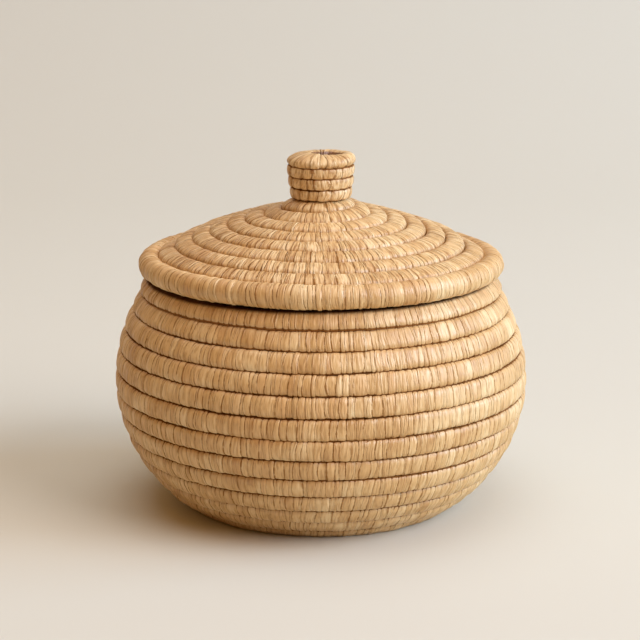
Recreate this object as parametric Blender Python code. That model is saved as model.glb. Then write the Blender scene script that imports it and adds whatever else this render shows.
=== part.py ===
"""A round coiled basket with a lid, as it is sewn: grass cores bound in raffia and laid row on row.

The body is one long coil, worked outward over a flat base and then up a bulging wall, and closed by
a mouth row. The lid is a second coil, worked down from its crown to a thicker rim roll. A short coil
under it drops into the mouth, and a small coil on the crown is the knob, turned in round a hollow.
Every coil keeps one row at one level round its front and climbs to the next row round its back.

Units are metres and degrees. +Z is up, -Y is the front, and the origin is on the axis at the floor.
"""
import math

import bmesh
import bpy
import numpy as np
from mathutils import Matrix, Vector

# Clearances
ROW_GAP = 0.0007            # between two rows of one coil
SEAM_GAP = 0.0003           # between two pieces that touch
MOUTH_CLEARANCE = 0.0030    # between the locating coil and the mouth

# Base and wall
WALL_PITCH = 0.01187        # from one row to the next
WALL_ROWS = 13              # rows from the base to the mouth row
BASE_RADIUS = 0.0679        # centre of the outermost row of the flat base
FOOT_RUN = 0.0056           # the floor stays flat this far beyond it,
FOOT_BEND = 0.0120          # the wall turns up on this radius,
FOOT_ANGLE = 33.1           # through this angle,
ROW_LEAN = 8.17             # and then bulges, each row leaning in this much more than the last
MOUTH_DIAMETER = 0.0126
MOUTH_ANGLE = 124.5         # the mouth row stands on the last row at this angle

# Lid
LID_PITCH = 0.0112
LID_SLOPE = 19.5
NECK_RADIUS = 0.0276        # from here in the lid rises to a neck
NECK_SLOPE = 32.0
CROWN_RADIUS = 0.0179       # and from here in is the flatter middle that carries the knob
CROWN_SLOPE = 8.0
RIM_DIAMETER = 0.0140
RIM_SEAT_ANGLE = 29.4       # the rim roll rests on the mouth row's shoulder at this angle
RIM_LEAN = 23.0             # the first lid row lies against the rim roll at this angle

# Locating coil under the lid
FLANGE_DIAMETER = 0.0096
FLANGE_ROWS = 2

# Knob
KNOB_PITCH = 0.0066
KNOB_ROWS = 4
KNOB_FOOT_RADIUS = 0.0153   # centre of its lowest row
KNOB_TOP_RADIUS = 0.0174    # centre of its highest outer row
KNOB_TOP_DIAMETER = 0.0060  # the row inside it that closes the top round the hollow,
KNOB_TOP_ANGLE = 2.0        # a little lower by this angle

# Counts and shares
LOOP_POINTS = 20            # points on a large loop, and half as many on a small one
KNOB_POINTS = 16
SMALL_LOOP = 0.0150         # radius under which a loop is small
SIDES = 6                   # sides of a bound coil's section
FLAT_SHARE = 0.1            # of the coil's diameter, flattened where it stands
TIP_SHARE = 0.5             # of the coil's thickness, left where a coil tapers out
CENTRE_SHARE = 0.52         # of a pitch, the least radius of the innermost loop
CLIMB_START_SHARE = 0.25    # of a turn, where the climb to the next row begins
CLIMB_SHARE = 0.5           # of a turn, taken by the climb
BACK_SHARE = 0.5            # of a turn, where closed rows meet at the back
FACE_SHARE = 0.004          # of a turn, the short straight that squares a blunt end
NEAR_SHARE = 0.6            # of a turn, nearer than which a coil is its own neighbour
CUTTER_OVERRUN = 0.010
WELD_DISTANCE = 0.00001
ROUGHNESS = 0.75

COLLECTION = "lidded_basket"
CUTTERS = "cutters"


def remove_everything():
    """Empty the scene of objects."""
    for thing in list(bpy.data.objects):
        bpy.data.objects.remove(thing, do_unlink=True)


def new_collection(name):
    """A collection linked to the scene."""
    made = bpy.data.collections.new(name)
    bpy.context.scene.collection.children.link(made)
    return made


def raffia(name, colour, roughness):
    """A plain matt fibre material."""
    material = bpy.data.materials.new(name)
    material.use_nodes = True
    shader = material.node_tree.nodes["Principled BSDF"]
    shader.inputs["Base Color"].default_value = (*colour, 1.0)
    shader.inputs["Roughness"].default_value = roughness
    shader.inputs["Metallic"].default_value = 0.0
    material.diffuse_color = (*colour, 1.0)
    return material


class Profile:
    """The line that row centres follow in the (radius, height) half plane.

    Each run is (heading or None to go on straight, length, bend radius or None for a straight run),
    and headings turn left with the bend. Distances before the start or past the end go on straight.
    """

    def __init__(self, start, runs):
        self.start = start
        self.runs = runs

    def at(self, distance):
        """Radius, height and heading in radians at a distance along the line."""
        radius, height = self.start
        heading = math.radians(self.runs[0][0])
        left = distance
        for number, (turn_to, length, bend) in enumerate(self.runs, start=1):
            if turn_to is not None:
                heading = math.radians(turn_to)
            step = left if number == len(self.runs) else min(left, length)
            if step < 0.0 or bend is None:
                radius += step * math.cos(heading)
                height += step * math.sin(heading)
            else:
                turned = heading + step / bend
                radius += bend * (math.sin(turned) - math.sin(heading))
                height += bend * (math.cos(heading) - math.cos(turned))
                heading = turned
            left -= step
            if left <= 0.0:
                break
        return radius, height, heading


def reach(radius, degrees_off_corner):
    """How far a section with SIDES sides reaches in a direction off its nearest corner."""
    half = 180.0 / SIDES
    off = abs((degrees_off_corner + half) % (2.0 * half) - half)
    return radius * math.cos(math.radians(half)) / math.cos(math.radians(half - off))


def support(radius, degrees_off_corner):
    """How far off the centre a flat plane rests against such a section."""
    half = 180.0 / SIDES
    off = abs((degrees_off_corner + half) % (2.0 * half) - half)
    return radius * math.cos(math.radians(off))


def climb(turn_part):
    """How far a row has climbed to the next one, from 0 to 1, at a part of its turn."""
    along = (turn_part - CLIMB_START_SHARE) / CLIMB_SHARE
    along = min(1.0, max(0.0, along))
    return along * along * (3.0 - 2.0 * along)


def climb_rate(turn_part):
    """How fast a row climbs, in rows for a turn, at a part of its turn."""
    along = (turn_part - CLIMB_START_SHARE) / CLIMB_SHARE
    along = min(1.0, max(0.0, along))
    return 6.0 * along * (1.0 - along) / CLIMB_SHARE


def climb_place(climbed):
    """The part of a turn where a row has climbed so far: the inverse of climb."""
    along = 0.5 - math.sin(math.asin(1.0 - 2.0 * climbed) / 3.0)
    return CLIMB_START_SHARE + CLIMB_SHARE * along


class Coil:
    """One unbroken bound coil: where its centre runs, how thick it is, and its loops."""

    def __init__(self, profile, first, last, pitch, thickness, gap,
                 taper_in=True, taper_out=True, start=None, end=None, points=LOOP_POINTS):
        self.profile = profile
        self.first = first
        self.last = last
        self.pitch = pitch
        self.radius = thickness / 2.0
        self.gap = gap
        self.taper_in = taper_in
        self.taper_out = taper_out
        self.points = points
        tip = climb_place((2.0 * TIP_SHARE * self.radius + gap) / pitch)
        self.start = first - 1.0 + math.ceil(tip * points) / points if start is None else start
        self.end = last + math.floor((1.0 - tip) * points) / points if end is None else end

    def place(self, turn):
        """Distance along the profile and tube radius, at a turn counted from the front."""
        row = math.floor(turn)
        climbed = climb(turn - row)
        if self.taper_in and turn < self.first:
            radius = min(self.radius, (self.pitch * climbed - self.gap) / 2.0)
            return self.first * self.pitch - self.radius + radius, radius
        if self.taper_out and turn > self.last:
            radius = min(self.radius, (self.pitch * (1.0 - climbed) - self.gap) / 2.0)
            return self.last * self.pitch + self.radius - radius, radius
        return (row + climbed) * self.pitch, self.radius

    def point(self, turn):
        """Centre, tube radius and section heading at a turn.

        A steep climb on a small loop brings the rows nearer, so the coil is thinner there.
        """
        distance, tube = self.place(turn)
        radius, height, heading = self.profile.at(distance)
        angle = 2.0 * math.pi * turn
        centre = Vector((radius * math.sin(angle), -radius * math.cos(angle), height))
        rise = self.pitch * climb_rate(turn - math.floor(turn)) / (2.0 * math.pi)
        nearness = math.cos(math.atan2(rise, radius))
        room = (self.pitch * nearness - self.gap) / (self.pitch - self.gap)
        return centre, min(tube, self.radius * room, tube * room), heading

    def turns(self):
        """Where the coil's points lie, at whole parts of a turn so that rows stay in line."""
        found = [self.start] if self.taper_in else [self.start, self.start + FACE_SHARE]
        whole = self.points
        step = 1.0 / whole
        number = math.floor(self.start / step) + 1
        while number * step < self.end - step / 4.0:
            turn = number * step
            centre = self.point(turn)[0]
            small = math.hypot(centre.x, centre.y) < SMALL_LOOP and whole == LOOP_POINTS
            if turn - found[-1] > step / 4.0 and not (small and number % 2):
                found.append(turn)
            number += 1
        if not self.taper_out:
            found.append(self.end - FACE_SHARE)
        found.append(self.end)
        return found

    def least_gap(self):
        """The least clear distance from one part of the coil to another, measured on points."""
        turns = self.turns()
        turns = sorted(turns + [(a + b) / 2.0 for a, b in zip(turns, turns[1:])])
        centres = np.array([self.point(turn)[0] for turn in turns])
        radii = np.array([self.point(turn)[1] for turn in turns])
        turns = np.array(turns)
        between = np.linalg.norm(centres[:, None] - centres[None, :], axis=2)
        clear = between - radii[:, None] - radii[None, :]
        apart = np.abs(turns[:, None] - turns[None, :]) > NEAR_SHARE
        return float(clear[apart].min())

    def facing_gap(self):
        """The distance between the two ends of a row that closes on itself."""
        return (self.point(self.start)[0] - self.point(self.end)[0]).length


class Spot:
    """The single place of a row that never climbs."""

    def __init__(self, radius, height, heading):
        self.spot = (radius, height, heading)

    def at(self, distance):
        """The same place at every distance."""
        return self.spot


def closed_row(radius, height, heading, thickness, points=LOOP_POINTS):
    """One level row round the whole basket, whose ends meet at the back across a small gap."""
    half_slit = ROW_GAP / (2.0 * math.pi * radius) / 2.0
    return Coil(Spot(radius, height, heading), 0, 0, thickness, thickness, ROW_GAP, taper_in=False,
                taper_out=False, start=-BACK_SHARE + half_slit, end=BACK_SHARE - half_slit,
                points=points)


def body_coils():
    """The base, the wall and the mouth row, which follow one profile."""
    thickness = WALL_PITCH - ROW_GAP
    standing_height = thickness / 2.0 - thickness * FLAT_SHARE
    profile = Profile((BASE_RADIUS, standing_height), [
        (0.0, FOOT_RUN, None),
        (None, FOOT_BEND * math.radians(FOOT_ANGLE), FOOT_BEND),
        (None, WALL_ROWS * WALL_PITCH, WALL_PITCH / math.radians(ROW_LEAN))])
    inner_rows = math.floor((BASE_RADIUS - CENTRE_SHARE * WALL_PITCH) / WALL_PITCH)
    joint_radius = BASE_RADIUS + climb(BACK_SHARE) * WALL_PITCH
    half_joint = SEAM_GAP / (2.0 * math.pi * joint_radius) / 2.0
    base = Coil(profile, -inner_rows, 0, WALL_PITCH, thickness, ROW_GAP,
                taper_out=False, end=BACK_SHARE - half_joint)
    wall = Coil(profile, 1, WALL_ROWS, WALL_PITCH, thickness, ROW_GAP,
                taper_in=False, start=BACK_SHARE + half_joint)
    top_radius, top_height, top_heading = profile.at(WALL_ROWS * WALL_PITCH)
    up = math.radians(MOUTH_ANGLE)
    apart = (reach(thickness / 2.0, MOUTH_ANGLE - math.degrees(top_heading))
             + MOUTH_DIAMETER / 2.0 + SEAM_GAP)
    mouth = closed_row(top_radius + apart * math.cos(up), top_height + apart * math.sin(up), up,
                       MOUTH_DIAMETER)
    return base, wall, mouth


def lid_coils(mouth):
    """The rim roll, seated on the mouth row, and the lid that rises from it to the crown."""
    mouth_radius, mouth_height, mouth_heading = mouth.profile.at(0.0)
    seat = math.radians(RIM_SEAT_ANGLE)
    apart = (reach(mouth.radius, RIM_SEAT_ANGLE - math.degrees(mouth_heading))
             + RIM_DIAMETER / 2.0 + SEAM_GAP)
    rim_radius = mouth_radius + apart * math.cos(seat)
    rim_height = mouth_height + apart * math.sin(seat)
    rim = closed_row(rim_radius, rim_height, seat, RIM_DIAMETER)

    thickness = LID_PITCH - ROW_GAP
    inward = 180.0 - LID_SLOPE
    lean = math.radians(RIM_LEAN)
    apart = rim.radius + thickness / 2.0 + SEAM_GAP
    edge = (rim_radius - apart * math.cos(lean), rim_height + apart * math.sin(lean))
    slope_length = (edge[0] - NECK_RADIUS) / math.cos(math.radians(LID_SLOPE))
    neck_length = (NECK_RADIUS - CROWN_RADIUS) / math.cos(math.radians(NECK_SLOPE))
    crown_length = CROWN_RADIUS / math.cos(math.radians(CROWN_SLOPE))
    profile = Profile(edge, [(inward, slope_length, None), (180.0 - NECK_SLOPE, neck_length, None),
                             (180.0 - CROWN_SLOPE, crown_length, None)])
    whole_length = slope_length + neck_length + crown_length
    rows = math.floor((whole_length - CENTRE_SHARE * LID_PITCH) / LID_PITCH) + 1
    lid = Coil(profile, 0, rows - 1, LID_PITCH, thickness, ROW_GAP)
    return rim, lid


def flange_coil(mouth, lid):
    """The locating coil: its upper row lies against the lid, its lower one inside the mouth."""
    thickness = FLANGE_DIAMETER
    radius = (mouth.profile.at(0.0)[0] - mouth.radius - MOUTH_CLEARANCE - thickness / 2.0)
    edge_radius, edge_height, inward = lid.profile.at(0.0)
    slope = math.radians(LID_SLOPE)
    apart = (support(lid.radius, 90.0) + support(thickness / 2.0, 90.0 - LID_SLOPE + 90.0)
             + SEAM_GAP)
    lid_height = edge_height + (edge_radius - radius) * math.tan(slope)
    height = lid_height - apart / math.cos(slope)
    pitch = thickness + ROW_GAP
    profile = Profile((radius, height), [(-90.0, FLANGE_ROWS * pitch, None)])
    return Coil(profile, 0, FLANGE_ROWS - 1, pitch, thickness, ROW_GAP)


def knob_coils(lid):
    """The knob: rows that stand on the crown and lean out a little, and one inside the top row."""
    thickness = KNOB_PITCH - ROW_GAP
    upright = (KNOB_ROWS - 1) * KNOB_PITCH
    heading = math.degrees(math.acos((KNOB_TOP_RADIUS - KNOB_FOOT_RADIUS) / upright))
    crown = math.radians(CROWN_SLOPE)
    slope_length, neck_length = (run[1] for run in lid.profile.runs[:2])
    corner_radius, corner_height, inward = lid.profile.at(slope_length + neck_length)
    crown_height = corner_height + (corner_radius - KNOB_FOOT_RADIUS) * math.tan(crown)
    apart = (support(lid.radius, 90.0) + support(thickness / 2.0, 270.0 - CROWN_SLOPE - heading)
             + SEAM_GAP)
    foot = (KNOB_FOOT_RADIUS, crown_height + apart / math.cos(crown))
    profile = Profile(foot, [(heading, upright, None)])
    knob = Coil(profile, 0, KNOB_ROWS - 1, KNOB_PITCH, thickness, ROW_GAP, points=KNOB_POINTS)

    top_radius, top_height, top_heading = profile.at(upright)
    lower = math.radians(KNOB_TOP_ANGLE)
    apart = (reach(knob.radius, 180.0 + KNOB_TOP_ANGLE - math.degrees(top_heading))
             + KNOB_TOP_DIAMETER / 2.0 + SEAM_GAP)
    top = closed_row(top_radius - apart * math.cos(lower), top_height - apart * math.sin(lower),
                     lower, KNOB_TOP_DIAMETER, KNOB_POINTS)
    return knob, top


def make_curve(name, coil, material, collection, parent=None):
    """A curve object with a bevel that follows the coil, with its origin on the axis."""
    carried_at = parent.location.z if parent else 0.0
    data = bpy.data.curves.new(name, "CURVE")
    data.dimensions = "3D"
    data.twist_mode = "Z_UP"
    data.bevel_depth = coil.radius
    data.bevel_resolution = (SIDES - 4) // 2
    data.use_fill_caps = True
    turns = coil.turns()
    spline = data.splines.new("POLY")
    spline.points.add(len(turns) - 1)
    for point, turn in zip(spline.points, turns):
        centre, thickness, heading = coil.point(turn)
        point.co = (centre.x, centre.y, centre.z - carried_at, 1.0)
        point.radius = thickness / coil.radius
        point.tilt = -heading
    data.materials.append(material)
    made = bpy.data.objects.new(name, data)
    made.parent = parent
    collection.objects.link(made)
    return made


def weld_to_mesh(curve_object, collection):
    """The curve's tube as a closed mesh object in the same place."""
    graph = bpy.context.evaluated_depsgraph_get()
    graph.update()
    name = curve_object.name
    data = bpy.data.meshes.new_from_object(curve_object.evaluated_get(graph))
    body = bmesh.new()
    body.from_mesh(data)
    bmesh.ops.remove_doubles(body, verts=body.verts, dist=WELD_DISTANCE)
    body.to_mesh(data)
    body.free()
    place = curve_object.matrix_world.copy()
    bpy.data.objects.remove(curve_object, do_unlink=True)
    data.name = name
    made = bpy.data.objects.new(name, data)
    made.matrix_world = place
    collection.objects.link(made)
    return made


def floor_slab(collection, half_width):
    """A cutter whose top face lies in the floor."""
    bpy.ops.mesh.primitive_cube_add(size=2.0)
    slab = bpy.context.object
    slab.name = "floor_slab"
    slab.data.transform(Matrix.Diagonal((half_width, half_width, CUTTER_OVERRUN / 2.0, 1.0)))
    slab.location = (0.0, 0.0, -CUTTER_OVERRUN / 2.0)
    slab.hide_render = True
    slab.display_type = "WIRE"
    for holder in list(slab.users_collection):
        holder.objects.unlink(slab)
    collection.objects.link(slab)
    return slab


def cut_flat(target, cutter):
    """Flatten the underside of a coil where it stands on the floor."""
    cut = target.modifiers.new("flat_foot", "BOOLEAN")
    cut.operation = "DIFFERENCE"
    cut.solver = "EXACT"
    cut.object = cutter


def report(name, coil):
    """Print a coil's rows and its least gap to itself."""
    gap = coil.least_gap() if coil.end - coil.start > 1.0 else coil.facing_gap()
    loops = coil.end - coil.start
    print(f"{name}: {loops:.1f} loops, {len(coil.turns())} points, least gap {gap * 1000.0:.2f} mm")


def build():
    """Model the basket."""
    remove_everything()
    parts = new_collection(COLLECTION)
    cutters = new_collection(CUTTERS)

    base, wall, mouth = body_coils()
    rim, lid = lid_coils(mouth)
    flange = flange_coil(mouth, lid)
    knob, knob_top = knob_coils(lid)

    lift = bpy.data.objects.new("lid_lift", None)
    lift.location = (0.0, 0.0, rim.profile.at(0.0)[1])
    parts.objects.link(lift)

    pieces = {
        "base_coil": (base, (0.52, 0.33, 0.16), None),
        "wall_coil": (wall, (0.62, 0.41, 0.21), None),
        "mouth_coil": (mouth, (0.58, 0.38, 0.19), None),
        "lid_coil": (lid, (0.66, 0.45, 0.24), lift),
        "lid_rim_coil": (rim, (0.68, 0.47, 0.26), lift),
        "lid_flange_coil": (flange, (0.56, 0.37, 0.18), lift),
        "knob_coil": (knob, (0.64, 0.43, 0.22), lift),
        "knob_top_coil": (knob_top, (0.67, 0.46, 0.25), lift),
    }
    slab = floor_slab(cutters, BASE_RADIUS + WALL_ROWS * WALL_PITCH)
    for name, (coil, colour, parent) in pieces.items():
        made = make_curve(name, coil, raffia(name, colour, ROUGHNESS), parts, parent)
        if name in ("base_coil", "wall_coil"):
            made = weld_to_mesh(made, parts)
            cut_flat(made, slab)
        report(name, coil)


build()
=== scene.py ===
"""A round coiled basket with a lift-off lid: grass cores bound in raffia strips, in soft studio light.

+Z is up and -Y is the front. The coils are worked out in millimetres and become metres in their meshes,
and the stage, the lamps and the camera are in metres. Every coil is laid along the path of its solid,
or within a few millimetres of it, and each strip of raffia is a wrap round the coil.
"""
import math

import bpy
import numpy as np
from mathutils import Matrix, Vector


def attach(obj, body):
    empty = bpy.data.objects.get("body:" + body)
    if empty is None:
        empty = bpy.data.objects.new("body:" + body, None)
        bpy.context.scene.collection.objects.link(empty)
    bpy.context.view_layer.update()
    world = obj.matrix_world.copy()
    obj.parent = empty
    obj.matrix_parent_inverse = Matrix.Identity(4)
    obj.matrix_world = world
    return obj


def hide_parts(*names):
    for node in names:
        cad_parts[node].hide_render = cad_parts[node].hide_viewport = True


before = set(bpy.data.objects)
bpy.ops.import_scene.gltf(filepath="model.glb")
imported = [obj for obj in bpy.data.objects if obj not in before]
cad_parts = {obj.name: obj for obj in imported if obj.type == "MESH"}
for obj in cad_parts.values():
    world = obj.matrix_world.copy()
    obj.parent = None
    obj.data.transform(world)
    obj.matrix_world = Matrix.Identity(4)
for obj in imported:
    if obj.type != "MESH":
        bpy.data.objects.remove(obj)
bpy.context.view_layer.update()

MM = 0.001

# Where the rows of each coil run, in millimetres, degrees and turns. A centre is a radius, a height and,
# for a closed row, a heading.
FLOOR_CLEAR = 0.15
BASE_COIL_RADIUS = 5.95
BASE_ROWS = 5
BASE_INNER_TURN = -5.45
BASE_OUTER_TURN = 0.5
WALL_COIL_RADIUS = 6.4
WALL_PITCH = 11.87
WALL_ROWS = 13
BASE_RADIUS = 67.9
FOOT_RUN = 5.6
FOOT_BEND = 12.0
FOOT_ANGLE = 33.1
ROW_LEAN = 8.17
STANDING_HEIGHT = 4.47
WALL_FULLER = 0.8
TOP_ROW_OUT = 3.2
TOP_ROW_UP = 0.9
WALL_TOP_SHADED = 138.35
WALL_TOP_TILT = 0.008
MOUTH_CENTRE = (90.99, 140.21, 124.5)
MOUTH_COIL_RADIUS = 5.95
RIM_CENTRE = (102.25, 146.49, 28.0)
RIM_COIL_RADIUS = 6.9
LID_COIL_RADIUS = 6.1
LID_ROWS = 8
LID_INNER_TURN = 8.45
LID_EDGE = (91.0, 151.0)
LID_PITCH = 11.6
LID_SLOPE = 22.5
LID_RUN = 66.0
LID_BEND = 480.0
NECK_SLOPE = 28.0
NECK_RUN = 22.0
CROWN_SLOPE = 8.0
CROWN_RUN = 15.0
BACK_RISE = 2.2
BACK_RISE_FROM = 8.0
BACK_RISE_OVER = 30.0
BACK_RISE_REACH = 0.2
RIM_BACK_DROP = 1.4
RIM_BACK_REACH = 0.6
RIM_BLEND = 14.0
FLANGE_COIL_RADIUS = 4.9
FLANGE_CENTRE = (77.01, 146.2)
FLANGE_PITCH = 10.3
KNOB_COIL_RADIUS = 3.6
KNOB_CENTRE = (15.2, 188.4)
KNOB_PITCH = 6.55
KNOB_HEADING = 83.0
KNOB_TOP_CENTRE = (14.2, 207.7, 79.0)
KNOB_TOP_RADIUS = 3.5
KNOB_TOP_HALF = 6.0
KNOB_HOLE_SQUEEZE = 2.0
KNOB_HOLE_ASIDE = 1.8

# A row climbs to the next one over a share of its turn, and a coil's ends taper over TIP_TURN turns
CLIMB_START = 0.25
CLIMB_SHARE = 0.5
TIP_TURN = 0.68
TIP_RADIUS = 0.3
SPIRAL_IN_TURNS = 4.0
SPIRAL_OUT_TURNS = 2.0

# How finely turns, profiles and coils are divided
TURN_SAMPLES = 1440
PROFILE_STEP = 0.25
STEP = 0.85
FINE_STEP = 0.5
COARSE_STEP = 1.2
RIM_STEP = 0.7
MOUTH_STEP = 1.0

# How strips lean, wave and swell at random
LEAN_SPREAD = 0.35
WAVE_SPREAD = 0.16
SWELL_SPREAD = 0.35

# Linear colours
LIGHT = (0.87, 0.655, 0.345)
MIDDLE = (0.69, 0.43, 0.168)
DARK = (0.48, 0.245, 0.066)
# Painted shade for the crevices where one coil meets the next
SEAM_SHADE = (0.34, 0.145, 0.040)
WALL_SEAM_SHADE = (0.23, 0.09, 0.025)
LID_SEAM_SHADE = (0.40, 0.195, 0.065)
KNOB_LIGHT = (0.89, 0.69, 0.385)
KNOB_MIDDLE = (0.74, 0.485, 0.205)
# Painted shade for the crevices between the knob's coils
KNOB_SEAM_SHADE = (0.20, 0.07, 0.015)
# The mouth coil's tones are painted shade, dark as if in the shadow of the lid's rim
MOUTH_SHADE_DARK = (0.15, 0.06, 0.02)
MOUTH_SEAM_SHADE = (0.10, 0.04, 0.015)
SHADE = (0.065, 0.019, 0.004)
PAPER = (0.65, 0.64, 0.548)

# Layers of fibres: cycles per millimetre along the coil, scale across it, detail, share of the tone
BROAD = (0.52, 0.55, 1.0, 0.55)
FINE = (1.05, 0.9, 1.0, 1.05)
HAIR = (2.9, 1.6, 0.0, 0.30)
PATCH_SCALE = 0.045
PATCH_SHARE = 0.65
BLOTCH_SCALE = 30.0
BLOTCH_SHARE = 0.8
SHADE_DEPTH = 1.8 * MM
BUMP_DISTANCE = 0.9 * MM
SHINE = 0.85

# Lamps: name, azimuth, elevation, distance, height aimed at, size, power, colour
LAMPS = (
    ("key", 60.0, 33.0, 4.0, 0.10, 3.1, 108.0, (1.0, 0.92, 0.96)),
    ("side", 88.0, 23.0, 4.0, 0.10, 3.1, 104.0, (0.60, 1.0, 1.50)),
    ("top", 0.0, 90.0, 3.5, 0.0, 3.5, 50.0, (0.80, 1.0, 1.18)),
)
SKY_COLOUR = (1.0, 0.51, 0.17)
SKY_STRENGTH = 0.72

FLOOR_HALF_WIDTH = 25.0
FLOOR_FRONT = -25.0
BACKDROP_BEND_AT = 1.0
BACKDROP_BEND = 2.0
BACKDROP_TOP = 4.0
BACKDROP_FACES = 24

CAMERA_ELEVATION = 13.5
CAMERA_DISTANCE = 1.210
CAMERA_AIM = (-0.0006, 0.0, 0.1092)
CAMERA_LENS = 112.5


# Paths

def trace(start, runs, before, after):
    """Distances along a profile and the radius, height and heading there.

    Each run has the heading it turns to, its length, and its radius if it is an arc. The profile goes
    on straight for some way before its start and after its end.
    """
    d, r, z, h = [0.0], [start[0]], [start[1]], [math.radians(runs[0][0])]
    heading = h[0]
    for turn_to, length, bend in runs:
        if turn_to is not None:
            heading = math.radians(turn_to)
        count = max(1, int(round(length / PROFILE_STEP)))
        small = length / count
        for _ in range(count):
            middle = heading + (small / bend / 2.0 if bend else 0.0)
            r.append(r[-1] + small * math.cos(middle))
            z.append(z[-1] + small * math.sin(middle))
            if bend:
                heading += small / bend
            d.append(d[-1] + small)
            h.append(heading)
    d = [-before] + d + [d[-1] + after]
    r = [r[0] - before * math.cos(h[0])] + r + [r[-1] + after * math.cos(h[-1])]
    z = [z[0] - before * math.sin(h[0])] + z + [z[-1] + after * math.sin(h[-1])]
    h = [h[0]] + h + [h[-1]]
    return np.array(d), np.array(r), np.array(z), np.array(h)


def ease(x):
    """A smooth step from 0 to 1."""
    x = np.clip(x, 0.0, 1.0)
    return x * x * (3.0 - 2.0 * x)


def climb(part):
    """How far a row has climbed to the next one, at a part of its turn."""
    return ease((part - CLIMB_START) / CLIMB_SHARE)


class Path:
    """A coil's centre line, resampled by arc length, with how thick it is there.

    The coil runs from the turn start to the turn end, and its whole rows from first to last. What lies
    outside them tapers. steady turns level rows, with a climb between them, into an even spiral.
    """

    def __init__(self, profile, pitch, first, last, start, end, radius, step,
                 taper_in=True, taper_out=True, closed=False, steady=0.0):
        gap = pitch - 2.0 * radius
        turns = np.linspace(start, end, int((end - start) * TURN_SAMPLES) + 2)
        row = np.floor(turns)
        part = turns - row
        climbed = climb(part)
        even = np.where(part < 0.5, part, part - 1.0)
        swing = steady * pitch * (even - np.where(part < 0.5, climbed, climbed - 1.0))
        swing = swing * np.clip((turns - first) / SPIRAL_IN_TURNS, 0.0, 1.0)
        swing = swing * np.clip((last - turns) / SPIRAL_OUT_TURNS, 0.0, 1.0)
        place = (row + climbed) * pitch
        thick = np.full_like(place, radius)
        if taper_in:
            tube = np.clip((pitch * climbed - gap) / 2.0, TIP_RADIUS, radius)
            early = turns < first
            place = np.where(early, first * pitch - radius + tube, place)
            thick = np.where(early, tube, thick)
        if taper_out:
            tube = np.clip((pitch * (1.0 - climbed) - gap) / 2.0, TIP_RADIUS, radius)
            late = turns > last
            place = np.where(late, last * pitch + radius - tube, place)
            thick = np.where(late, tube, thick)
        place = np.zeros_like(place) if closed else place + swing
        d, r, z, h = profile
        rr, zz, hh = np.interp(place, d, r), np.interp(place, d, z), np.interp(place, d, h)
        angle = 2.0 * math.pi * turns
        xyz = np.stack([rr * np.sin(angle), -rr * np.cos(angle), zz], axis=1)
        arc = np.concatenate([[0.0], np.cumsum(np.linalg.norm(np.diff(xyz, axis=0), axis=1))])
        count = int(arc[-1] / step) + 1
        self.closed = closed
        self.length = arc[-1]
        self.s = np.linspace(0.0, arc[-1], count)
        if closed:
            self.s = self.s[:-1]
        self.turn = np.interp(self.s, arc, turns)
        self.r = np.interp(self.s, arc, rr)
        self.z = np.interp(self.s, arc, zz)
        self.h = np.interp(self.s, arc, hh)
        self.thick = np.interp(self.s, arc, thick)


def drift(rng, s, spacing, amount):
    """Smooth random values along a coil."""
    knots = int(s[-1] / spacing) + 5
    values = rng.normal(0.0, amount, knots)
    x = s / spacing
    i = np.floor(x).astype(int)
    f = x - i
    f = f * f * (3.0 - 2.0 * f)
    return values[i] * (1.0 - f) + values[i + 1] * f


def strip_edges(rng, length, width, spread):
    """Where one strip ends and the next begins, along a coil."""
    widths = width * np.exp(rng.normal(0.0, spread, int(length / width * 1.8) + 12))
    widths = np.clip(widths, 0.42 * width, 2.3 * width)
    edges = np.cumsum(widths) - 3.0 * width
    return edges[edges < length + 4.0 * width]


def section_angles(count, crowd):
    """Angles round a section, closer together on its outer side when crowd is more than 0."""
    base = np.linspace(0.0, 2.0 * math.pi, count, endpoint=False)
    return base - crowd * np.sin(base)


# Coils

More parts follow.
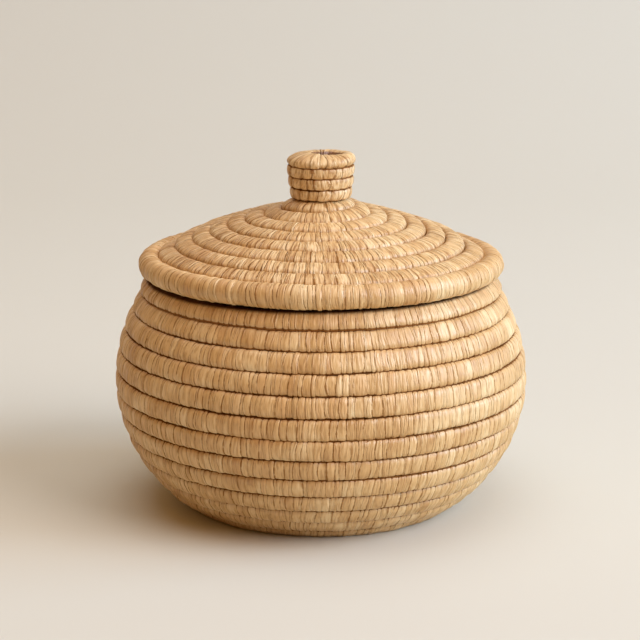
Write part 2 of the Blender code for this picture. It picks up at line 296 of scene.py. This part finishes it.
def bound_coil(name, path, seed, count=32, crowd=0.32, power=2.3, depth=1.0, width=6.0, spread=0.28,
               slant=0.5, bend=0.0, bow=0.45, bulge=0.26, shingle=0.16, lift=0.12, core=0.20,
               wander=0.22, chunks=1):
    """Meshes for one coil bound in strips.

    count, crowd, power and depth shape the section. width and spread set the strips' widths, slant, bend
    and bow how they lean and curve, and bulge, lift and shingle how they stand out. core and wander make
    the coil itself uneven. A long coil is cut into several meshes, as many as chunks says.
    """
    rng = np.random.default_rng(seed)
    s = path.s
    edges = strip_edges(rng, path.length, width, spread)
    n = len(edges)
    lean = rng.normal(slant, LEAN_SPREAD, n)
    curve = rng.normal(bend, bow, n)
    wave = rng.normal(0.0, WAVE_SPREAD, n)
    phase = rng.uniform(0.0, 6.28, n)
    high = rng.normal(0.0, lift, n + 2)
    skew = rng.normal(0.0, shingle, n + 2)
    swell = np.clip(rng.normal(1.0, SWELL_SPREAD, n + 2), 0.2, 2.0)
    phi = section_angles(count, crowd)
    thin = path.thick / path.thick.max()
    side_drift = drift(rng, s, 55.0, wander)
    out_drift = drift(rng, s, 47.0, wander)
    core_drift = drift(rng, s, 22.0, core)
    core_side = drift(rng, s, 31.0, core)
    radial = np.stack([np.sin(2.0 * math.pi * path.turn), -np.cos(2.0 * math.pi * path.turn),
                       np.zeros_like(s)], axis=1)
    up = np.array([0.0, 0.0, 1.0])
    head = np.cos(path.h)[:, None] * radial + np.sin(path.h)[:, None] * up
    out = np.sin(path.h)[:, None] * radial - np.cos(path.h)[:, None] * up
    centre = path.r[:, None] * radial + path.z[:, None] * up
    centre = centre + side_drift[:, None] * head + out_drift[:, None] * out

    points = np.zeros((len(s), count, 3))
    strip = np.zeros((len(s), count))
    fibre = np.zeros((len(s), count))
    for j, angle in enumerate(phi):
        c, q = math.cos(angle), math.sin(angle)
        shift = lean * q + curve * c + wave * np.sin(2.0 * angle + phase)
        u = np.interp(s, edges + shift, np.arange(n))
        strip[:, j] = u
        fibre[:, j] = s - np.interp(u, np.arange(n), shift)
        i = np.clip(np.floor(u).astype(int), 0, n - 1)
        f = u - i
        hump = 1.0 - np.abs(2.0 * f - 1.0) ** 2.6
        blend = np.clip((f - 0.5) * 6.0 - 2.0, 0.0, 1.0)
        level = high[i] * (1.0 - blend * 0.5) + high[i + 1] * blend * 0.5
        grow = bulge * swell[i] * (hump - 0.6) + level + skew[i] * (f - 0.5)
        grow = grow * (0.35 + 0.65 * thin)
        ring = 1.0 / (abs(c) ** power + abs(q) ** power) ** (1.0 / power)
        extent = path.thick * ring + grow * (0.85 + 0.15 * abs(c)) + core_drift * 0.6
        extent = extent + core_side * math.sin(angle + 0.7)
        offset = out * (extent * c * depth)[:, None] + head * (extent * q)[:, None]
        points[:, j] = centre + offset
    points[:, :, 2] = np.maximum(points[:, :, 2], FLOOR_CLEAR)
    fields = {"strip": strip, "fibre": fibre, "side": np.broadcast_to(np.sin(phi), strip.shape),
              "face": np.broadcast_to(np.cos(phi), strip.shape)}

    made = []
    bounds = np.linspace(0, len(s) - (0 if path.closed else 1), chunks + 1).astype(int)
    for k in range(chunks):
        whole = path.closed and chunks == 1
        rings = np.arange(bounds[k], bounds[k + 1] if whole else bounds[k + 1] + 1) % len(s)
        title = name if chunks == 1 else f"{name}_{k + 1}"
        made.append(tube(title, points, fields, rings, whole, k == 0, k == chunks - 1))
    return made


def tube(title, points, fields, rings, whole, first, last):
    """A tube through some rings of points. It is a loop if whole, and has a face on a coil's own ends."""
    m, count = len(rings), points.shape[1]
    a = np.arange(m if whole else m - 1)
    b = (a + 1) % m
    j = np.arange(count)
    jn = (j + 1) % count
    quads = np.stack([a[:, None] * count + j, b[:, None] * count + j,
                      b[:, None] * count + jn, a[:, None] * count + jn], axis=2).reshape(-1, 4)
    faces = quads[:, ::-1]
    ends = []
    if first and not whole:
        ends.append(np.arange(count))
    if last and not whole:
        ends.append((np.arange(count) + (m - 1) * count)[::-1])
    loops = np.concatenate([faces.ravel()] + ends)
    starts = np.concatenate([np.arange(len(faces)) * 4, len(faces) * 4 + np.arange(len(ends)) * count])
    mesh = bpy.data.meshes.new(title)
    mesh.vertices.add(m * count)
    mesh.vertices.foreach_set("co", (points[rings] * MM).ravel())
    mesh.loops.add(len(loops))
    mesh.loops.foreach_set("vertex_index", loops.astype(np.int32))
    mesh.polygons.add(len(starts))
    mesh.polygons.foreach_set("loop_start", starts.astype(np.int32))
    for label, values in fields.items():
        layer = mesh.attributes.new(label, "FLOAT", "POINT")
        layer.data.foreach_set("value", values[rings].reshape(-1).astype(np.float32))
    mesh.update(calc_edges=True)
    mesh.validate()
    mesh.polygons.foreach_set("use_smooth", np.ones(len(mesh.polygons), bool))
    piece = bpy.data.objects.new(title, mesh)
    bpy.context.scene.collection.objects.link(piece)
    return piece


# Materials

class Nodes:
    """A small helper that adds and links shader nodes."""

    def __init__(self, name):
        self.material = bpy.data.materials.new(name)
        self.material.use_nodes = True
        self.tree = self.material.node_tree
        self.shader = self.tree.nodes["Principled BSDF"]

    def add(self, kind, **values):
        node = self.tree.nodes.new(kind)
        for key, value in values.items():
            setattr(node, key, value)
        return node

    def link(self, a, b):
        self.tree.links.new(a, b)

    def put(self, value, socket):
        """Set a socket to a number or a colour, or link it to another node's output."""
        if isinstance(value, (int, float)):
            socket.default_value = value
        elif isinstance(value, tuple):
            socket.default_value = (*value, 1.0)
        else:
            self.link(value, socket)

    def math(self, operation, a, b=None, clamp=False):
        node = self.add("ShaderNodeMath", operation=operation, use_clamp=clamp)
        self.put(a, node.inputs[0])
        if b is not None:
            self.put(b, node.inputs[1])
        return node.outputs[0]

    def attribute(self, name):
        return self.add("ShaderNodeAttribute", attribute_name=name).outputs["Fac"]

    def smooth(self, value, low, high, to_low=0.0, to_high=1.0):
        node = self.add("ShaderNodeMapRange", interpolation_type="SMOOTHSTEP")
        self.link(value, node.inputs["Value"])
        for key, number in (("From Min", low), ("From Max", high), ("To Min", to_low),
                            ("To Max", to_high)):
            node.inputs[key].default_value = number
        return node.outputs["Result"]

    def vector(self, x, y, z):
        node = self.add("ShaderNodeCombineXYZ")
        for value, socket in zip((x, y, z), node.inputs):
            self.put(value, socket)
        return node.outputs[0]

    def noise(self, vector, scale, detail, roughness):
        node = self.add("ShaderNodeTexNoise")
        self.link(vector, node.inputs["Vector"])
        node.inputs["Scale"].default_value = scale
        node.inputs["Detail"].default_value = detail
        node.inputs["Roughness"].default_value = roughness
        return node.outputs["Fac"]

    def white(self, value):
        node = self.add("ShaderNodeTexWhiteNoise", noise_dimensions="1D")
        self.link(value, node.inputs["W"])
        return node.outputs["Value"]

    def ramp(self, value, stops):
        node = self.add("ShaderNodeValToRGB")
        self.link(value, node.inputs["Fac"])
        elements = node.color_ramp.elements
        while len(elements) < len(stops):
            elements.new(0.5)
        for element, (place, colour) in zip(elements, stops):
            element.position = place
            element.color = (*colour, 1.0)
        return node.outputs["Color"]

    def mix(self, factor, a, b):
        node = self.add("ShaderNodeMix", data_type="RGBA", blend_type="MIX")
        for value, socket in ((factor, node.inputs[0]), (a, node.inputs[6]), (b, node.inputs[7])):
            self.put(value, socket)
        return node.outputs[2]


def raffia(name, seed, light, middle, dark, seam_shade, seam_shade_at=(0.80, 0.87), edge_shade=0.25, line=0.12,
           faint=0.25, tone_share=0.40, grain=1.0, shaded_hollow=False, shaded_under=False, shaded_above=None):
    """Raffia strips: a tone for each strip, fine fibres along it, dark lines between strips.

    seam_shade is painted shade in the crevice along both sides of a coil, where it meets the next, from
    the first to the second place in seam_shade_at. edge_shade darkens each coil towards both sides as
    painted shade, and at 0 neither is painted. shaded_hollow paints shade on the side that faces a hole,
    shaded_under on a coil's downward side, and shaded_above on everything above a height in metres, a
    little higher up where x is greater. line is how wide the lines between strips are, in strips, and
    faint how strong the weakest of them is.
    """
    n = Nodes(name)
    strip, fibre = n.attribute("strip"), n.attribute("fibre")
    side, face = n.attribute("side"), n.attribute("face")
    number = n.math("FLOOR", strip)
    part = n.math("FRACT", strip)

    def pick(whole, salt):
        return n.white(n.math("ADD", whole, seed + salt))

    tone = pick(number, 0.37)
    other = pick(number, 91.13)
    jump = n.math("MULTIPLY", other, 60.0)

    def streaks(layer):
        frequency, across, detail, _ = layer
        x = n.math("ADD", n.math("MULTIPLY", fibre, frequency), jump)
        at = n.vector(x, n.math("MULTIPLY", side, across), n.math("MULTIPLY", face, across))
        return n.noise(at, 1.0, detail, 0.55)

    broad, fine, hair = streaks(BROAD), streaks(FINE), streaks(HAIR)
    patch = n.noise(n.vector(n.math("MULTIPLY", fibre, PATCH_SCALE), n.math("MULTIPLY", side, 0.5),
                             seed * 3.1), 1.0, 2.0, 0.5)
    place = n.add("ShaderNodeTexCoord").outputs["Object"]
    blotch = n.noise(place, BLOTCH_SCALE, 3.0, 0.55)

    # Lines between strips
    nearest = n.math("MINIMUM", part, n.math("SUBTRACT", 1.0, part))
    border = n.math("FLOOR", n.math("ADD", strip, 0.5))
    strong = n.smooth(pick(border, 17.71), 0.15, 0.90, faint, 1.0)
    ragged = n.noise(n.vector(n.math("MULTIPLY", border, 3.7), n.math("MULTIPLY", side, 1.7),
                              n.math("MULTIPLY", face, 1.7)), 1.0, 2.0, 0.6)
    width = n.math("MULTIPLY", n.smooth(ragged, 0.34, 0.66, 0.25, 1.5), line)
    cleft = n.math("SUBTRACT", 1.0, n.math("DIVIDE", nearest, width), clamp=True)
    cleft = n.math("MULTIPLY", cleft, strong)

    # Colour
    value = n.math("MULTIPLY", n.math("SUBTRACT", tone, 0.5), tone_share)
    for layer, share in ((broad, BROAD[3] * grain), (fine, FINE[3] * grain), (hair, HAIR[3] * grain),
                         (patch, PATCH_SHARE), (blotch, BLOTCH_SHARE)):
        value = n.math("ADD", value, n.math("MULTIPLY", n.math("SUBTRACT", layer, 0.5), share))
    value = n.math("ADD", value, 0.5, clamp=True)
    colour = n.ramp(value, [(0.0, dark), (0.5, middle), (1.0, light)])
    pinkish = n.smooth(pick(number, 55.5), 0.85, 0.99, 0.0, 0.30)
    colour = n.mix(pinkish, colour, (middle[0] * 1.02, middle[1] * 0.91, middle[2] * 0.88))
    deep = (dark[0] * 0.66, dark[1] * 0.54, dark[2] * 0.40)
    crack = n.smooth(fine, 0.36, 0.46, 0.45 * min(1.0, grain), 0.0)
    colour = n.mix(crack, colour, deep)
    groove = (dark[0] * 0.60, dark[1] * 0.44, dark[2] * 0.24)
    colour = n.mix(n.math("MULTIPLY", cleft, 0.85), colour, groove)
    dull = cleft
    # Painted shade: each coil darker towards both sides, and a dark line of painted shade in the crevice
    # where it meets the next coil
    if edge_shade:
        off = n.math("ABSOLUTE", side)
        colour = n.mix(n.smooth(off, 0.45, seam_shade_at[1], 0.0, edge_shade), colour, deep)
        wavy = n.math("MULTIPLY", n.math("SUBTRACT", broad, 0.5), 0.06)
        notch = n.smooth(nearest, 0.0, 0.22, 0.05, 0.0)
        seam_shade_mask = n.smooth(n.math("ADD", n.math("ADD", off, wavy), notch), seam_shade_at[0], seam_shade_at[1])
        colour = n.mix(n.math("MULTIPLY", seam_shade_mask, 0.9), colour, seam_shade)
        dull = n.math("MAXIMUM", dull, seam_shade_mask)
    # Painted shade on a coil's downward side
    if shaded_under:
        shaded = n.smooth(side, -0.50, -0.24, 0.95, 0.0)
        colour = n.mix(shaded, colour, SHADE)
        dull = n.math("MAXIMUM", dull, shaded)
    if shaded_above:
        position = n.add("ShaderNodeSeparateXYZ")
        n.link(place, position.inputs[0])
        lower = n.math("MULTIPLY", position.outputs["X"], WALL_TOP_TILT)
        level = n.math("SUBTRACT", position.outputs["Z"], lower)
        shaded = n.smooth(level, shaded_above - SHADE_DEPTH, shaded_above, 0.0, 0.97)
        colour = n.mix(shaded, colour, SHADE)
        dull = n.math("MAXIMUM", dull, shaded)
    # Painted shade on the side of a coil that faces a hole
    if shaded_hollow:
        colour = n.mix(n.smooth(face, -0.92, -0.74, 0.9, 0.0), colour, seam_shade)
    n.link(colour, n.shader.inputs["Base Color"])

    # Gloss and relief
    rough = n.math("ADD", n.smooth(broad, 0.3, 0.7, 0.58, 0.42), n.math("MULTIPLY", dull, 0.3))
    n.link(rough, n.shader.inputs["Roughness"])
    gloss = n.math("MULTIPLY", n.math("SUBTRACT", 1.0, dull), SHINE)
    n.link(gloss, n.shader.inputs["Specular IOR Level"])

    ramped = n.math("MULTIPLY", part, n.math("SUBTRACT", n.math("MULTIPLY", other, 1.2), 0.35))
    height = n.math("ADD", n.math("MULTIPLY", broad, 0.7), n.math("MULTIPLY", fine, 0.8))
    height = n.math("ADD", height, ramped)
    height = n.math("SUBTRACT", height, n.math("MULTIPLY", cleft, 0.8))
    bump = n.add("ShaderNodeBump")
    bump.inputs["Strength"].default_value = min(0.9, 0.20 + grain)
    bump.inputs["Distance"].default_value = BUMP_DISTANCE
    n.link(height, bump.inputs["Height"])
    n.link(bump.outputs["Normal"], n.shader.inputs["Normal"])
    return n.material


def dress(pieces, material, body, nodes):
    """Give the pieces of a coil their material and their body, and hide the solids that they stand for.
    """
    for piece in pieces:
        piece.data.materials.append(material)
        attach(piece, body)
        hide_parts(*nodes)


wall_look = raffia("raffia_wall", 3, LIGHT, MIDDLE, DARK, WALL_SEAM_SHADE, seam_shade_at=(0.79, 0.835),
                   edge_shade=0.08, line=0.12, faint=0.40, tone_share=0.30, grain=0.50,
                   shaded_above=WALL_TOP_SHADED * MM)
lid_look = raffia("raffia_lid", 11, LIGHT, MIDDLE, DARK, LID_SEAM_SHADE, seam_shade_at=(0.85, 0.93), edge_shade=0.20,
                  line=0.15, faint=0.4)
# The rim's downward side takes painted shade, where it sits on the wall
rim_look = raffia("raffia_rim", 17, LIGHT, MIDDLE, DARK, SEAM_SHADE, edge_shade=0.0, line=0.12, faint=0.40,
                  tone_share=0.34, grain=0.50, shaded_under=True)
knob_look = raffia("raffia_knob", 29, KNOB_LIGHT, KNOB_MIDDLE, DARK, KNOB_SEAM_SHADE, seam_shade_at=(0.66, 0.78),
                   line=0.16, faint=0.5, grain=0.9)
# The knob's top ring takes painted shade on the side that faces its hole
knob_top_look = raffia("raffia_knob_top", 31, KNOB_LIGHT, KNOB_MIDDLE, DARK, KNOB_SEAM_SHADE, edge_shade=0.0,
                       line=0.16, faint=0.5, grain=0.9, shaded_hollow=True)
base_look = raffia("raffia_base", 41, LIGHT, MIDDLE, DARK, SEAM_SHADE)
# The mouth coil is painted dark all over, as painted shade for the gap beneath the lid's rim
mouth_shade_look = raffia("raffia_mouth_shaded", 53, DARK, SEAM_SHADE, MOUTH_SHADE_DARK, MOUTH_SEAM_SHADE)


# The basket

def whole_ring(centre, step, radius):
    """A closed row at a radius, a height and a heading."""
    profile = trace(centre[:2], [(centre[2], 1.0, None)], 1.0, 1.0)
    return Path(profile, 3.0 * radius, 0, 0, -0.5, 0.5, radius, step, closed=True,
                taper_in=False, taper_out=False)


def behind(path, reach):
    """How far round the back a path is, from 0 to 1."""
    return np.clip(reach - 1.6 * np.cos(2.0 * math.pi * path.turn), 0.0, 1.0)


def wall_profile():
    """The profile of the base and the wall, a little fuller than the solids and with its top row out."""
    d, r, z, h = trace((BASE_RADIUS, STANDING_HEIGHT),
                       [(0.0, FOOT_RUN, None),
                        (None, FOOT_BEND * math.radians(FOOT_ANGLE), FOOT_BEND),
                        (None, (WALL_ROWS + 1) * WALL_PITCH, WALL_PITCH / math.radians(ROW_LEAN))],
                       80.0, 10.0)
    fuller = WALL_FULLER * np.clip(d / WALL_PITCH, 0.0, 1.0)
    upright = np.clip((d / WALL_PITCH - WALL_ROWS + 2.0) / 2.0, 0.0, 1.0) ** 2
    r = r + fuller * np.sin(h) + TOP_ROW_OUT * upright
    z = z - fuller * np.cos(h) + TOP_ROW_UP * upright
    return d, r, z, h


body_profile = wall_profile()
lid_profile = trace(LID_EDGE, [(180.0 - LID_SLOPE, LID_RUN, LID_BEND),
                               (180.0 - NECK_SLOPE, NECK_RUN, None),
                               (180.0 - CROWN_SLOPE, CROWN_RUN, None)], 20.0, 20.0)
flange_profile = trace(FLANGE_CENTRE, [(-90.0, 2.0 * FLANGE_PITCH, None)], 20.0, 20.0)
knob_profile = trace(KNOB_CENTRE, [(KNOB_HEADING, 3.0 * KNOB_PITCH, None)], 10.0, 10.0)

base = Path(body_profile, WALL_PITCH, -BASE_ROWS, 0, BASE_INNER_TURN, BASE_OUTER_TURN,
            BASE_COIL_RADIUS, COARSE_STEP, taper_out=False)
dress(bound_coil("base_wraps", base, 101, count=24, power=2.3, width=6.4),
      base_look, "basket", ["base_coil"])

wall = Path(body_profile, WALL_PITCH, 1, WALL_ROWS, BASE_OUTER_TURN, WALL_ROWS + TIP_TURN,
            WALL_COIL_RADIUS, STEP, taper_in=False)
dress(bound_coil("wall_wraps", wall, 202, count=36, power=3.2, depth=0.86, width=3.3, spread=0.30,
                 bend=-0.9, bow=0.9, slant=0.2, bulge=0.30, lift=0.15, shingle=0.22, wander=0.13,
                 core=0.14, chunks=4),
      wall_look, "basket", ["wall_coil"])

mouth = whole_ring(MOUTH_CENTRE, MOUTH_STEP, MOUTH_COIL_RADIUS)
dress(bound_coil("mouth_wraps", mouth, 303, count=28, width=3.3, core=0.05, wander=0.05,
                 bulge=0.12, lift=0.04),
      mouth_shade_look, "basket", ["mouth_coil"])

lid = Path(lid_profile, LID_PITCH, 0, LID_ROWS, -TIP_TURN, LID_INNER_TURN, LID_COIL_RADIUS, STEP,
           steady=1.0)
inside = ease((LID_EDGE[0] - lid.r) / RIM_BLEND)
rise = BACK_RISE * inside * ease((lid.r - BACK_RISE_FROM) / BACK_RISE_OVER)
lid.z += behind(lid, BACK_RISE_REACH) * rise
lid.z -= behind(lid, RIM_BACK_REACH) * RIM_BACK_DROP * (1.0 - inside)
dress(bound_coil("lid_wraps", lid, 404, count=36, power=3.2, depth=0.80, width=2.9, spread=0.40,
                 slant=-0.4, bulge=0.24, lift=0.12, wander=0.07, core=0.10, chunks=2),
      lid_look, "lid", ["lid_coil"])

rim = whole_ring(RIM_CENTRE, RIM_STEP, RIM_COIL_RADIUS)
rim.z -= behind(rim, RIM_BACK_REACH) * RIM_BACK_DROP
dress(bound_coil("lid_rim_wraps", rim, 505, count=48, crowd=0.0, power=2.05, width=2.9,
                 spread=0.42, bulge=0.26, lift=0.13, shingle=0.2, slant=-0.6, wander=0.12, core=0.12),
      rim_look, "lid", ["lid_rim_coil"])

flange = Path(flange_profile, FLANGE_PITCH, 0, 1, -TIP_TURN, 1.0 + TIP_TURN, FLANGE_COIL_RADIUS,
              COARSE_STEP)
dress(bound_coil("lid_flange_wraps", flange, 606, count=20, width=5.6),
      base_look, "lid", ["lid_flange_coil"])

knob = Path(knob_profile, KNOB_PITCH, 0, 2, -TIP_TURN, 2.0 + TIP_TURN, KNOB_COIL_RADIUS, FINE_STEP)
dress(bound_coil("knob_wraps", knob, 707, count=28, power=3.0, depth=0.9, width=4.6, spread=0.34,
                 bulge=0.30, lift=0.16, wander=0.10, core=0.12),
      knob_look, "lid", ["knob_coil"])

top = whole_ring(KNOB_TOP_CENTRE, FINE_STEP, KNOB_TOP_RADIUS)
squeezed = (KNOB_HOLE_SQUEEZE * np.cos(2.0 * math.pi * top.turn) ** 2
            - KNOB_HOLE_ASIDE * np.sin(2.0 * math.pi * top.turn))
top.r -= squeezed
dress(bound_coil("knob_top_wraps", top, 808, count=40, crowd=0.0, power=2.2,
                 depth=(KNOB_TOP_HALF + squeezed) / KNOB_TOP_RADIUS,
                 width=3.4, spread=0.34, bulge=0.20, lift=0.12, wander=0.10, core=0.12),
      knob_top_look, "lid", ["knob_top_coil"])


# Stage

def plain(name, colour):
    """A matt material of one colour."""
    n = Nodes(name)
    n.shader.inputs["Base Color"].default_value = (*colour, 1.0)
    n.shader.inputs["Roughness"].default_value = 0.9
    n.shader.inputs["Specular IOR Level"].default_value = 0.1
    return n.material


def sweep(name, material):
    """A floor that curves up into a backdrop."""
    outline = [(FLOOR_FRONT, 0.0)]
    for k in range(BACKDROP_FACES + 1):
        a = math.radians(90.0 * k / BACKDROP_FACES)
        outline.append((BACKDROP_BEND_AT + BACKDROP_BEND * math.sin(a),
                        BACKDROP_BEND * (1.0 - math.cos(a))))
    outline.append((BACKDROP_BEND_AT + BACKDROP_BEND, BACKDROP_TOP))
    verts = []
    for y, z in outline:
        verts += [(-FLOOR_HALF_WIDTH, y, z), (FLOOR_HALF_WIDTH, y, z)]
    faces = [(2 * k, 2 * k + 1, 2 * k + 3, 2 * k + 2) for k in range(len(outline) - 1)]
    mesh = bpy.data.meshes.new(name)
    mesh.from_pydata(verts, [], faces)
    mesh.polygons.foreach_set("use_smooth", [True] * len(faces))
    mesh.materials.append(material)
    piece = bpy.data.objects.new(name, mesh)
    bpy.context.scene.collection.objects.link(piece)
    return piece


def around(azimuth, elevation, distance):
    """A place at a distance from the origin. Azimuth 0 is the front and 90 the right."""
    a, e = math.radians(azimuth), math.radians(elevation)
    return distance * Vector((math.sin(a) * math.cos(e), -math.cos(a) * math.cos(e), math.sin(e)))


def area(name, place, target, size, power, colour):
    """A round lamp that the camera doesn't see."""
    data = bpy.data.lights.new(name, "AREA")
    data.shape = "DISK"
    data.size = size
    data.energy = power
    data.color = colour
    lamp = bpy.data.objects.new(name, data)
    lamp.location = place
    lamp.visible_camera = False
    lamp.rotation_euler = (target - place).to_track_quat("-Z", "Y").to_euler()
    bpy.context.scene.collection.objects.link(lamp)


def room():
    """A world that is brightest overhead and dark from the horizon down."""
    world = bpy.data.worlds.new("room")
    world.use_nodes = True
    nodes, links = world.node_tree.nodes, world.node_tree.links
    sky = nodes["Background"]
    sky.inputs["Color"].default_value = (*SKY_COLOUR, 1.0)
    ray = nodes.new("ShaderNodeTexCoord")
    split = nodes.new("ShaderNodeSeparateXYZ")
    strength = nodes.new("ShaderNodeMath")
    strength.operation = "MULTIPLY"
    strength.use_clamp = True
    strength.inputs[1].default_value = SKY_STRENGTH
    links.new(ray.outputs["Generated"], split.inputs[0])
    links.new(split.outputs["Z"], strength.inputs[0])
    links.new(strength.outputs[0], sky.inputs["Strength"])
    return world


floor = sweep("floor", plain("paper", PAPER))
for name, azimuth, elevation, distance, aimed_at, size, power, colour in LAMPS:
    area(name, around(azimuth, elevation, distance), Vector((0.0, 0.0, aimed_at)), size, power, colour)
bpy.context.scene.world = room()

# Camera
camera_data = bpy.data.cameras.new("camera")
camera_data.sensor_width = 36.0
camera_data.lens = CAMERA_LENS
camera = bpy.data.objects.new("camera", camera_data)
camera.location = Vector(CAMERA_AIM) + around(0.0, CAMERA_ELEVATION, CAMERA_DISTANCE)
camera.rotation_euler = (math.radians(90.0 - CAMERA_ELEVATION), 0.0, 0.0)
bpy.context.scene.collection.objects.link(camera)
bpy.context.scene.camera = camera
bpy.context.scene.view_settings.view_transform = "Standard"
